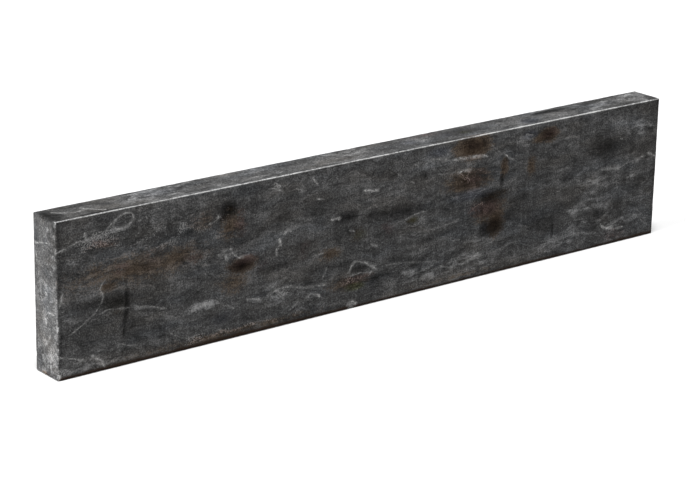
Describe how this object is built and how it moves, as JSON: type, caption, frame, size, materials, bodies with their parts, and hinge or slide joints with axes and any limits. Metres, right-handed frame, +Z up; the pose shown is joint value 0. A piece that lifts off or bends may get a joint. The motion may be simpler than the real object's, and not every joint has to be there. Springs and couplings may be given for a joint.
{
  "type": "stone edging slab",
  "caption": "Long thin slab of dark honed natural stone with eased edges, set on its narrow side as a border, kerb or riser.",
  "frame": {"origin": "middle of the base, the long narrow face that the slab stands on", "axes": "+X along the length towards the right end as seen facing the front; +Y from the front face to the back; +Z up"},
  "size_m": [1, 0.05, 0.2],
  "materials": {
    "dark_stone": "honed, matt, with eased edges"
  },
  "bodies": {
    "root": {"edging_slab": "dark_stone"}
  },
  "joints": []
}
